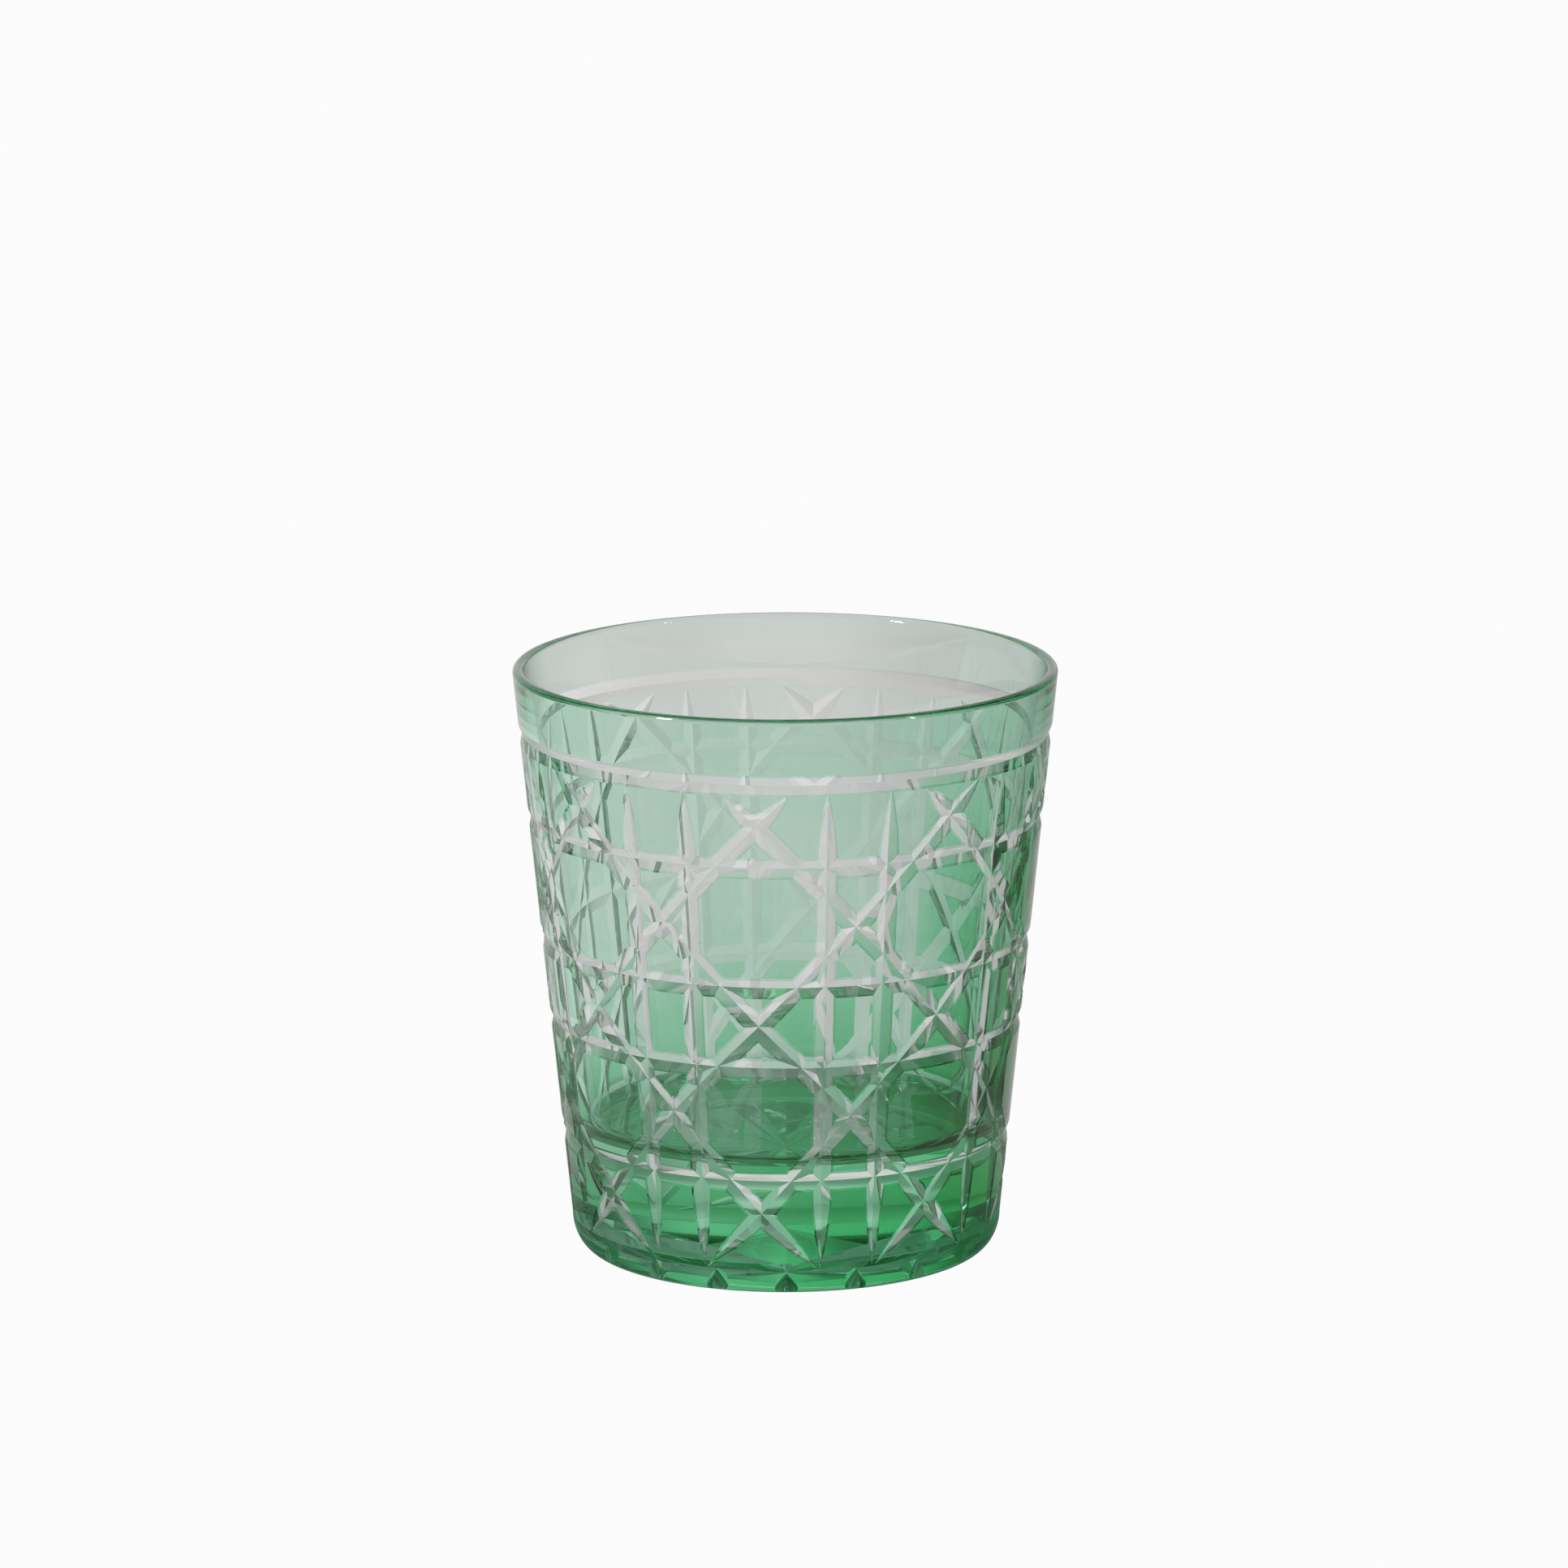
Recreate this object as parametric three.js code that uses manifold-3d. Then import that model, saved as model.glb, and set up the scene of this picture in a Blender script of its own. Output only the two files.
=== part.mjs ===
// Whiskey tumbler in cased, hand-cut crystal: one thick clear body under a thin green casing.
// V-shaped wheel cuts go right through the casing and leave it as bands and panes of green glass.
// Millimetres, +Z up, resting on its foot ring at z = 0, with the front of the glass towards -Y.
import * as THREE from "three";
import { mergeVertices } from "three/addons/utils/BufferGeometryUtils.js";
import Module from "manifold-3d";

const wasm = await Module();
wasm.setup();

// Driving dimensions
const HEIGHT = 96;
const RIM_RADIUS = 44; // outer radius that the wall's cone reaches at the rim
const TAPER = 0.1015; // radius lost for each mm of depth below the rim
const LIP_WALL = 1.9; // wall thickness at the rounded lip
const FLOOR_WALL = 4.15; // wall thickness where the wall meets the floor
const FLOOR_HEIGHT = 20.3; // solid glass under the middle of the cup
const FLOOR_DISH = 0.8; // rise of the dished floor towards the wall
const CORNER_RADIUS = 4; // round corner between the floor and the wall
const HEEL_HEIGHT = 5.6; // rounded heel below the cone
const FOOT_RADIUS = 31;
const CASING = 0.1; // thickness of the green casing
const FUSE_GAP = 0.05; // keeps the casing's solids clear of the body they are fused to

// Cut pattern: eight repeats round the glass, each a wide cell and a narrow cell between two uprights
const REPEATS = 8;
const FRONT_TURN = -6.47; // degrees from the front to the middle of the nearest wide cell
const UPRIGHT_OFFSET = 7; // degrees from the middle of a narrow cell to its uprights
const CUT_FLANK = 17; // degrees between a cut's flank and the wall
const RING_CUT = 1.7; // half widths of the three kinds of cut at the surface
const DIAGONAL_CUT = 1.8;
const UPRIGHT_CUT = 1.9;
const RING_HEIGHTS = [85.2, 71.6, 51.8, 38.4, 19.4]; // cuts right round the glass
const CROSSING_HEIGHTS = [78.4, 61.6, 45.3, 30.1, 13.8]; // diagonals cross in wide and narrow cells in turn
const UPRIGHT_TIP = 84.5; // the uprights and the diagonals run out to points under the top ring
const ARM_TIP = 83.8;
const TOP_ARM_TURN = 7.5; // degrees from the first crossing to the points above it
const HEEL_TIP = 4.9; // and here, at the top of the heel
const HEEL_ARM_TURN = 14.4;
const TIP_POWER = 1.75; // how a cut shallows towards its point: 1 is straight, 2 a parabola

// Star cut into the underside
const STAR_POINTS = 16;
const STAR_CENTRE_DEPTH = 0.35;
const STAR_DEPTH = 3.4;
const STAR_DEEPEST_RADIUS = 26.2;
const STAR_RADIUS = 29.8;
const STAR_POWER = 1.6; // how a point deepens from the centre: 1 is straight, 2 a parabola
const STAR_FLANK = 34; // degrees between a star cut's flank and the base

const SEGMENTS = 48; // facets round the glass
const CUT_CLEARANCE = 0.7; // how far a cutting solid stands proud of the glass
const DEGREES = Math.PI / 180;

const PERIOD = 360 / REPEATS;
const HALF_PERIOD = PERIOD / 2;
const LIP_RADIUS = LIP_WALL / 2;
const LIP_HEIGHT = HEIGHT - LIP_RADIUS;
const CASING_TOP = 55; // degrees up the lip's round where the casing ends
const CASING_FOOT = 72; // degrees down the heel's round where it ends
const LIP_STEP = 2; // degrees over which the clear lip steps out round the casing's end
const HEEL_STEP = 3; // and the clear foot
const FLANK_SLOPE = Math.tan(CUT_FLANK * DEGREES);

const wallRadius = (z) => RIM_RADIUS - TAPER * (HEIGHT - z);

// ---- solids ----------------------------------------------------------------------------------

function solidFrom(geometry) {
  const bare = geometry.index ? geometry.toNonIndexed() : geometry.clone();
  bare.deleteAttribute("normal");
  bare.deleteAttribute("uv");
  const merged = mergeVertices(bare, 1e-4);
  const mesh = new wasm.Mesh({
    numProp: 3,
    vertProperties: merged.attributes.position.array,
    triVerts: new Uint32Array(merged.index.array),
  });
  return new wasm.Manifold(mesh);
}

function geometryFrom(solid) {
  const { vertProperties, triVerts } = solid.getMesh();
  const geometry = new THREE.BufferGeometry();
  geometry.setAttribute("position", new THREE.BufferAttribute(vertProperties, 3));
  geometry.setIndex(new THREE.BufferAttribute(triVerts, 1));
  geometry.computeVertexNormals();
  return geometry;
}

// A solid of revolution about +Z from [radius, height] points that run anticlockwise. Its facets are
// in step with the cut pattern, so that facet edges fall on the middles of cells and along uprights.
function turned(profile) {
  const points = profile.map(([r, z]) => new THREE.Vector2(r, z));
  const lathe = new THREE.LatheGeometry(points, SEGMENTS);
  return solidFrom(lathe.rotateX(Math.PI / 2).rotateZ(FRONT_TURN * DEGREES));
}

const joined = (solids) => solids.reduce((all, next) => all.add(next));

// ---- outlines --------------------------------------------------------------------------------

// The heel's round, 0 degrees at the cone and 90 at the foot, set in by a distance along its normal.
function heelPoint(degrees, inset) {
  const a = degrees * DEGREES;
  const width = wallRadius(HEEL_HEIGHT) - FOOT_RADIUS;
  const normal = new THREE.Vector2(HEEL_HEIGHT * Math.cos(a), -width * Math.sin(a)).normalize();
  return [
    FOOT_RADIUS + width * Math.cos(a) - inset * normal.x,
    HEEL_HEIGHT * (1 - Math.sin(a)) - inset * normal.y,
  ];
}

// The lip's round, 0 degrees outward, 90 at the top and 180 inward.
function lipPoint(degrees, inset = 0) {
  const a = degrees * DEGREES;
  const radius = LIP_RADIUS - inset;
  const centre = wallRadius(LIP_HEIGHT) - LIP_RADIUS;
  return [centre + radius * Math.cos(a), LIP_HEIGHT + radius * Math.sin(a)];
}

// Evenly spaced values from first to last, both included.
function steps(first, last, count) {
  return Array.from({ length: count + 1 }, (_, i) => first + ((last - first) * i) / count);
}

const heelOutline = (inset) => steps(CASING_FOOT, 0, 3).map((a) => heelPoint(a, inset));
const lipOutline = (inset) => steps(0, CASING_TOP, 2).map((a) => lipPoint(a, inset));

// A V-shaped cut right round the wall: its lower edge, bottom and upper edge, where the wall is set in.
function ringNotch(z, inset) {
  const lean = Math.hypot(1, TAPER);
  const [outward, upward] = [1 / lean, -TAPER / lean];
  const halfWidth = RING_CUT - inset / FLANK_SLOPE;
  const place = (depth, along) => [
    wallRadius(z) - depth * outward - along * upward,
    z - depth * upward + along * outward,
  ];
  return [place(inset, -halfWidth), place(RING_CUT * FLANK_SLOPE, 0), place(inset, halfWidth)];
}

// The cup from the lip down its wall, round the corner and along the dished floor to the axis.
function cupOutline() {
  const wallFoot = FLOOR_HEIGHT + FLOOR_DISH + CORNER_RADIUS;
  const cupRadius = (z) => {
    const down = (LIP_HEIGHT - z) / (LIP_HEIGHT - wallFoot);
    const wall = LIP_WALL + (FLOOR_WALL - LIP_WALL) * Math.sin((down * Math.PI) / 2);
    return wallRadius(z) - wall;
  };
  const wall = steps(LIP_HEIGHT, wallFoot, 5).map((z) => [cupRadius(z), z]);
  const cornerCentre = cupRadius(wallFoot) - CORNER_RADIUS;
  const corner = steps(0, 90, 3).map((degrees) => {
    const a = degrees * DEGREES;
    return [cornerCentre + CORNER_RADIUS * Math.cos(a), wallFoot - CORNER_RADIUS * Math.sin(a)];
  });
  const floor = steps(1, 0, 2).map((t) => [cornerCentre * t, FLOOR_HEIGHT + FLOOR_DISH * t * t]);
  return [...wall.slice(1), ...corner.slice(1), ...floor.slice(1)];
}

// ---- cuts ------------------------------------------------------------------------------------

// A point on the wall and its outward normal.
function onWall(degrees, z) {
  const a = degrees * DEGREES;
  const outward = new THREE.Vector3(Math.sin(a), -Math.cos(a), 0);
  return {
    point: outward.clone().multiplyScalar(wallRadius(z)).setZ(z),
    normal: outward.clone().setZ(-TAPER).normalize(),
  };
}

// A closed prism along a list of triangular sections, each given as three points.
function prismThrough(sections) {
  const positions = [];
  const triangle = (a, b, c) => positions.push(...a.toArray(), ...b.toArray(), ...c.toArray());
  sections.slice(1).forEach((next, i) => {
    const last = sections[i];
    for (let side = 0; side < 3; side++) {
      const other = (side + 1) % 3;
      triangle(last[side], last[other], next[other]);
      triangle(last[side], next[other], next[side]);
    }
  });
  const first = sections[0];
  const end = sections[sections.length - 1];
  triangle(first[0], first[2], first[1]);
  triangle(end[0], end[1], end[2]);
  const geometry = new THREE.BufferGeometry();
  geometry.setAttribute("position", new THREE.Float32BufferAttribute(positions, 3));
  return solidFrom(geometry);
}

// A V-shaped wheel cut along stations on the wall, each with an angle, a height and a share of full depth.
function wheelCut(stations, halfWidth) {
  const places = stations.map(({ degrees, z }) => onWall(degrees, z));
  const sections = stations.map(({ share }, i) => {
    const before = places[Math.max(i - 1, 0)].point;
    const after = places[Math.min(i + 1, places.length - 1)].point;
    const { point, normal } = places[i];
    const across = after.clone().sub(before).cross(normal).normalize();
    const depth = halfWidth * FLANK_SLOPE * share;
    const reach = (depth + CUT_CLEARANCE) / FLANK_SLOPE;
    const bottom = point.clone().addScaledVector(normal, -depth);
    const top = point.clone().addScaledVector(normal, CUT_CLEARANCE);
    return [
      bottom,
      top.clone().addScaledVector(across, -reach),
      top.clone().addScaledVector(across, reach),
    ];
  });
  return prismThrough(sections);
}

// An upright runs out to a point at both ends, under the top ring and at the heel.
function upright(degrees) {
  const topRing = RING_HEIGHTS[1];
  const lowRing = RING_HEIGHTS[4];
  const end = (from, to, t) => ({ degrees, z: from + (to - from) * t, share: 1 - t ** TIP_POWER });
  const top = steps(1, 0, 3).map((t) => end(topRing, UPRIGHT_TIP, t));
  const foot = steps(0, 1, 3).map((t) => end(lowRing, HEEL_TIP, t));
  return wheelCut([...top, ...foot], UPRIGHT_CUT);
}

// A diagonal winds down through one crossing on each level, a half repeat further on each time.
function diagonal(degrees, hand) {
  const first = CROSSING_HEIGHTS[0];
  const last = CROSSING_HEIGHTS[4];
  const topArm = steps(1, 0, 3).map((t) => ({
    degrees: degrees - hand * TOP_ARM_TURN * t,
    z: first + (ARM_TIP - first) * t,
    share: 1 - t ** TIP_POWER,
  }));
  const middle = CROSSING_HEIGHTS.slice(1).flatMap((below, level) =>
    steps(0, 1, 3)
      .slice(1)
      .map((t) => ({
        degrees: degrees + hand * HALF_PERIOD * (level + t),
        z: CROSSING_HEIGHTS[level] + (below - CROSSING_HEIGHTS[level]) * t,
        share: 1,
      })),
  );
  const heelArm = steps(0, 1, 3)
    .slice(1)
    .map((t) => ({
      degrees: degrees + hand * (4 * HALF_PERIOD + HEEL_ARM_TURN * t),
      z: last + (HEEL_TIP - last) * t,
      share: 1 - t ** TIP_POWER,
    }));
  return wheelCut([...topArm, ...middle, ...heelArm], DIAGONAL_CUT);
}

function patternCuts() {
  const cuts = [];
  for (let i = 0; i < REPEATS; i++) {
    const wide = FRONT_TURN + PERIOD * i;
    cuts.push(diagonal(wide, 1), diagonal(wide, -1));
    cuts.push(upright(wide + HALF_PERIOD - UPRIGHT_OFFSET));
    cuts.push(upright(wide + HALF_PERIOD + UPRIGHT_OFFSET));
  }
  return joined(cuts);
}

// One point of the star: it deepens from the centre, then runs out in a round end at the foot ring.
function starCut(degrees) {
  const a = degrees * DEGREES;
  const outward = new THREE.Vector3(Math.sin(a), -Math.cos(a), 0);
  const across = new THREE.Vector3(Math.cos(a), Math.sin(a), 0);
  const spoke = steps(0, 1, 3).map((t) => ({
    r: STAR_DEEPEST_RADIUS * t,
    depth: STAR_CENTRE_DEPTH + (STAR_DEPTH - STAR_CENTRE_DEPTH) * t ** STAR_POWER,
  }));
  const roundEnd = steps(0, 90, 3).map((turn) => ({
    r: STAR_DEEPEST_RADIUS + (STAR_RADIUS - STAR_DEEPEST_RADIUS) * Math.sin(turn * DEGREES),
    depth: STAR_DEPTH * Math.cos(turn * DEGREES),
  }));
  const sections = [...spoke, ...roundEnd.slice(1)].map(({ r, depth }) => {
    const reach = (depth + CUT_CLEARANCE) / Math.tan(STAR_FLANK * DEGREES);
    const below = outward.clone().multiplyScalar(r).setZ(-CUT_CLEARANCE);
    return [
      outward.clone().multiplyScalar(r).setZ(depth),
      below.clone().addScaledVector(across, -reach),
      below.clone().addScaledVector(across, reach),
    ];
  });
  return prismThrough(sections);
}

function starCuts() {
  return joined(Array.from({ length: STAR_POINTS }, (_, i) => starCut((360 / STAR_POINTS) * i)));
}

// ---- the two glasses -------------------------------------------------------------------------

function crystalBody(cuts) {
  const inset = CASING + FUSE_GAP;
  const notches = RING_HEIGHTS.toReversed().flatMap((z) => ringNotch(z, inset));
  const blank = turned([
    [0, 0],
    [FOOT_RADIUS, 0],
    heelPoint(CASING_FOOT + HEEL_STEP, 0),
    ...heelOutline(inset),
    ...notches,
    ...lipOutline(inset),
    lipPoint(CASING_TOP + LIP_STEP, inset),
    ...steps(CASING_TOP + LIP_STEP, 180, 3).map((a) => lipPoint(a)),
    ...cupOutline(),
  ]);
  return blank.subtract(cuts).subtract(starCuts());
}

// The casing as rings from heel to rim, parted by the ring cuts, then cut through by the pattern.
function casingRings(cuts) {
  const side = (inset) => {
    const notches = RING_HEIGHTS.toReversed().map((z) => ringNotch(z, inset));
    const lowerEnds = [heelOutline(inset), ...notches.map((notch) => [notch[2]])];
    const upperEnds = [...notches.map((notch) => [notch[0]]), lipOutline(inset)];
    return lowerEnds.map((end, i) => [...end, ...upperEnds[i]]);
  };
  const inside = side(CASING);
  return side(0).map((outside, i) =>
    turned([...outside, ...inside[i].reverse(), outside[0]]).subtract(cuts),
  );
}

// Where each kind of green piece has its middle: turn from the wide cell in degrees, and height.
const [SHOULDER, UPPER_WAIST, LOWER_WAIST, BASE_RING] = RING_HEIGHTS.slice(1);
const PANES = [
  { name: "upper_octagon", turn: 0, z: (SHOULDER + UPPER_WAIST) / 2 },
  { name: "lower_octagon", turn: 0, z: (LOWER_WAIST + BASE_RING) / 2 },
  { name: "upper_arrow_down", turn: HALF_PERIOD, z: (SHOULDER + CROSSING_HEIGHTS[1]) / 2 },
  { name: "upper_arrow_up", turn: HALF_PERIOD, z: (UPPER_WAIST + CROSSING_HEIGHTS[1]) / 2 },
  { name: "waist_block", turn: HALF_PERIOD, z: (UPPER_WAIST + LOWER_WAIST) / 2 },
  { name: "waist_wing_left", turn: -HALF_PERIOD / 2, z: CROSSING_HEIGHTS[2] },
  { name: "waist_wing_right", turn: HALF_PERIOD / 2, z: CROSSING_HEIGHTS[2] },
];

function middleOf(solid) {
  const { min, max } = solid.boundingBox();
  return new THREE.Vector3(...min).add(new THREE.Vector3(...max)).multiplyScalar(0.5);
}

const nearestTo = (point, solids) =>
  solids.reduce((best, next) =>
    middleOf(next).distanceTo(point) < middleOf(best).distanceTo(point) ? next : best,
  );

// ---- the tumbler -----------------------------------------------------------------------------

const clearCrystal = new THREE.MeshStandardMaterial({
  color: 0xdfe6e3,
  roughness: 0.03,
  metalness: 0,
  transparent: true,
  opacity: 0.45,
});
const greenCasing = new THREE.MeshStandardMaterial({
  color: 0x3f9d6c,
  roughness: 0.05,
  metalness: 0,
  transparent: true,
  opacity: 0.7,
});

const tumbler = new THREE.Group();
tumbler.name = "whiskey_tumbler";

function addPiece(name, solid, material) {
  const mesh = new THREE.Mesh(geometryFrom(solid), material);
  mesh.name = name;
  tumbler.add(mesh);
}

const cuts = patternCuts();
addPiece("crystal_body", crystalBody(cuts), clearCrystal);

const islands = casingRings(cuts).flatMap((ring) => ring.decompose());
const bands = islands.filter((island) => middleOf(island).setZ(0).length() < RIM_RADIUS / 2);
bands.sort((a, b) => middleOf(b).z - middleOf(a).z);
["rim_casing", "shoulder_casing", "heel_casing"].forEach((name, i) => {
  addPiece(name, bands[i], greenCasing.clone());
});

for (const { name, turn, z } of PANES) {
  for (let i = 0; i < REPEATS; i++) {
    const { point } = onWall(FRONT_TURN + PERIOD * i + turn, z);
    addPiece(`${name}_${i + 1}`, nearestTo(point, islands), greenCasing.clone());
  }
}

export default tumbler;
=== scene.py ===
import math

import bpy
import numpy as np
from mathutils import Matrix, Vector


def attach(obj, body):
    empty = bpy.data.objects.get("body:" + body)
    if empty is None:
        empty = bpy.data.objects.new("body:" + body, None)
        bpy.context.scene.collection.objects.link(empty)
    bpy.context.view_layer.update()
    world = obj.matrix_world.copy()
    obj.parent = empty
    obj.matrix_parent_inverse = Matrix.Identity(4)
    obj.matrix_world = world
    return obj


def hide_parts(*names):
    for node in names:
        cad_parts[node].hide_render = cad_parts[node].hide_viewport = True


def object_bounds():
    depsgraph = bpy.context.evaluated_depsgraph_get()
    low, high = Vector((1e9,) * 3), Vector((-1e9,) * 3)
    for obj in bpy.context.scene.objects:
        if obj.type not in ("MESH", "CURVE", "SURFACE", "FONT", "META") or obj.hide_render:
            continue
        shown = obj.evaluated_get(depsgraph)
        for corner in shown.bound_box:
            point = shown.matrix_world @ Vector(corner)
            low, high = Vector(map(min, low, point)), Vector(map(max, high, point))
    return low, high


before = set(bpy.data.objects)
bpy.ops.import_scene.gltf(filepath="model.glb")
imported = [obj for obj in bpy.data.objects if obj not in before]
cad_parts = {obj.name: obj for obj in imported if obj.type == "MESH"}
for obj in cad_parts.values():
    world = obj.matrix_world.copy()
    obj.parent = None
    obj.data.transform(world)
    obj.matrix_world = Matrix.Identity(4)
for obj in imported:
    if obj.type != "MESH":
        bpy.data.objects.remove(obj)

CAD_LOW, CAD_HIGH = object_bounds()
MM = 0.001

# Dimensions of the CAD source, in millimetres and degrees
HEIGHT = CAD_HIGH.z / MM
RIM_RADIUS, TAPER = 44, 0.1015
LIP_WALL, FLOOR_WALL = 1.9, 4.15
FLOOR_HEIGHT, FLOOR_DISH, CORNER_RADIUS = 20.3, 0.8, 4
HEEL_HEIGHT, FOOT_RADIUS = 5.6, 31
CASING = 0.1
CASING_TOP, CASING_FOOT = 55, 72  # where the casing ends on the lip's round and on the heel's round
REPEATS, FRONT_TURN, UPRIGHT_OFFSET = 8, -6.47, 7
CUT_FLANK, CUT_CLEARANCE = 17, 0.7
RING_CUT, DIAGONAL_CUT, UPRIGHT_CUT = 1.7, 1.8, 1.9  # half of each cut's width
RING_HEIGHTS = [85.2, 71.6, 51.8, 38.4, 19.4]
CROSSING_HEIGHTS = [78.4, 61.6, 45.3, 30.1, 13.8]
UPRIGHT_TIP, ARM_TIP, HEEL_TIP, TIP_POWER = 84.5, 83.8, 4.9, 1.75
TOP_ARM_TURN, HEEL_ARM_TURN = 7.5, 14.4
STAR_POINTS, STAR_CENTRE_DEPTH, STAR_DEPTH, STAR_POWER = 16, 0.35, 3.4, 1.6
STAR_DEEPEST_RADIUS, STAR_RADIUS, STAR_FLANK = 26.2, 29.8, 34
PERIOD = 360 / REPEATS
HALF_PERIOD = PERIOD / 2
LIP_RADIUS = LIP_WALL / 2
LIP_HEIGHT = HEIGHT - LIP_RADIUS
FLANK_SLOPE = math.tan(math.radians(CUT_FLANK))

FUSE_GAP = 0.01  # between casing and body, narrower than in the CAD
SAME_PLACE = 6  # decimals to which two places on the outline agree when they are one

# How many steps the curved stretches have
SEGMENTS = 256  # round the glass, smoothed by the true surface's normals
HEEL_STEPS, FOOT_STEPS, LIP_STEPS, LIP_TOP_STEPS = 14, 4, 8, 20
CUP_STEPS, CORNER_STEPS, DISH_STEPS = 24, 16, 8
CUT_STEPS, UPRIGHT_TIP_STEPS, ARM_TIP_STEPS = 12, 10, 8
STAR_STEPS, STAR_END_STEPS = 9, 10

POLISHED, FUSED, FOOT, CUT = 0, 1, 2, 3  # face kinds, which are also the material slots of every piece


def wall_radius(z):
    return RIM_RADIUS - TAPER * (HEIGHT - z)


def steps(first, last, count):
    return [first + (last - first) * i / count for i in range(count + 1)]


def unit(v):
    return v / np.linalg.norm(v)


def spun(outward, up, turn):
    """A place or a direction on the outline, turned about the glass's axis from its front."""
    return outward * math.sin(turn), -outward * math.cos(turn), up


WALL_NORMAL = unit(np.array([1, -TAPER]))
WALL_ALONG = np.array([TAPER, 1]) / math.hypot(1, TAPER)


# ---- solids ------------------------------------------------------------------------------------
# A solid is its points, its faces, and for each face its kind and the glass's normal at each corner.


class Solid:
    def __init__(self):
        self.points, self.faces, self.kinds, self.normals = [], [], [], []

    def face(self, corners, normals, kind):
        self.faces.append(tuple(corners))
        self.kinds.append(kind)
        self.normals.extend(normals)

    def to_mesh(self, name):
        mesh = bpy.data.meshes.new(name)
        mesh.from_pydata([tuple(c * MM for c in p) for p in self.points], [], self.faces)
        normals = mesh.attributes.new("glass_normal", "FLOAT_VECTOR", "CORNER")
        normals.data.foreach_set("vector", np.array(self.normals, np.float32).ravel())
        kinds = mesh.attributes.new("kind", "INT", "FACE")
        kinds.data.foreach_set("value", self.kinds)
        return mesh


def glass_normals(mesh):
    normals = np.zeros(len(mesh.loops) * 3, np.float32)
    mesh.attributes["glass_normal"].data.foreach_get("vector", normals)
    return normals.reshape(-1, 3)


def to_object(name, mesh):
    made = bpy.data.objects.new(name, mesh)
    bpy.context.scene.collection.objects.link(made)
    return made


def combine(mesh, others, operation):
    """The mesh joined with, or cut by, each of the others."""
    base = to_object("work", mesh)
    tools = [to_object("tool", other) for other in others]
    for tool in tools:
        step = base.modifiers.new("step", "BOOLEAN")
        step.operation, step.solver, step.object = operation, "MANIFOLD", tool
    bpy.context.view_layer.update()
    graph = bpy.context.evaluated_depsgraph_get()
    made = bpy.data.meshes.new_from_object(base.evaluated_get(graph))
    for spare in [base, *tools]:
        bpy.data.objects.remove(spare)
    return made


def turned(name, strips):
    """A solid of revolution. Each strip is [(radius, height), ...], [(outward, up), ...] and a kind."""
    solid = Solid()
    turns = [math.radians(FRONT_TURN + 360 * i / SEGMENTS) for i in range(SEGMENTS)]
    rings = {}

    def ring(radius, height):
        key = (round(radius, SAME_PLACE), round(height, SAME_PLACE))
        if key not in rings:
            first = len(solid.points)
            if key[0] == 0:
                solid.points.append((0, 0, height))
                rings[key] = [first] * SEGMENTS
            else:
                solid.points.extend(spun(radius, height, turn) for turn in turns)
                rings[key] = list(range(first, first + SEGMENTS))
        return rings[key]

    for outline, normals, kind in strips:
        for (low, high), (low_n, high_n) in zip(
            zip(outline, outline[1:]), zip(normals, normals[1:])
        ):
            a, b = ring(*low), ring(*high)
            for i in range(SEGMENTS):
                j = (i + 1) % SEGMENTS
                quad = [(a[i], low_n, i), (a[j], low_n, j), (b[j], high_n, j), (b[i], high_n, i)]
                corners = {}
                for point, normal, k in quad:
                    corners.setdefault(point, spun(*normal, turns[k]))
                solid.face(corners, corners.values(), kind)
    return solid.to_mesh(name)


def prism_through(name, sections):
    """A closed prism along triangular sections, each a bottom edge and two top edges. Its two flanks
    become the glass's faces, so their normals point into the cut."""
    solid = Solid()
    for section in sections:
        solid.points.extend(tuple(p) for p in section)
    bottom, *tops = [np.array([s[k] for s in sections]) for k in range(3)]
    tangents = [np.gradient(trail, axis=0) for trail in (bottom, *tops)]

    def flank_normal(i, edge, flank):
        n = np.cross(tangents[edge][i], tops[flank][i] - bottom[i])
        opening = (tops[0][i] + tops[1][i]) / 2 - bottom[i]
        return tuple(unit(n if n @ opening > 0 else -n))

    last = len(sections) - 1
    for i in range(last):
        for edge, other, flank in ((0, 1, 0), (1, 2, None), (2, 0, 1)):
            for corners in (
                [(i, edge), (i, other), (i + 1, other)],
                [(i, edge), (i + 1, other), (i + 1, edge)],
            ):
                normals = [
                    (0, 0, 1) if flank is None else flank_normal(s, k, flank) for s, k in corners
                ]
                solid.face([3 * s + k for s, k in corners], normals, CUT)
    solid.face((0, 2, 1), [(0, 0, 1)] * 3, POLISHED)
    solid.face((3 * last, 3 * last + 1, 3 * last + 2), [(0, 0, 1)] * 3, POLISHED)
    return solid.to_mesh(name)


# ---- outlines ----------------------------------------------------------------------------------
# A strip is a stretch of the outline: its points, their normals and the kind of its faces.


def heel_place(degrees, inset=0.0):
    """A point on the heel's round, 0 degrees at the cone and 90 at the foot, and its normal."""
    a = math.radians(degrees)
    width = wall_radius(HEEL_HEIGHT) - FOOT_RADIUS
    n = unit(np.array([HEEL_HEIGHT * math.cos(a), -width * math.sin(a)]))
    r = FOOT_RADIUS + width * math.cos(a) - inset * n[0]
    return (r, HEEL_HEIGHT * (1 - math.sin(a)) - inset * n[1]), tuple(n)


def lip_place(degrees, inset=0.0):
    """A point on the lip's round, 0 degrees outward, 90 at the top and 180 inward, and its normal."""
    a = math.radians(degrees)
    centre = wall_radius(LIP_HEIGHT) - LIP_RADIUS
    n = (math.cos(a), math.sin(a))
    radius = LIP_RADIUS - inset
    return (centre + radius * n[0], LIP_HEIGHT + radius * n[1]), n


def strip(places, kind):
    return [p for p, _ in places], [n for _, n in places], kind


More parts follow.
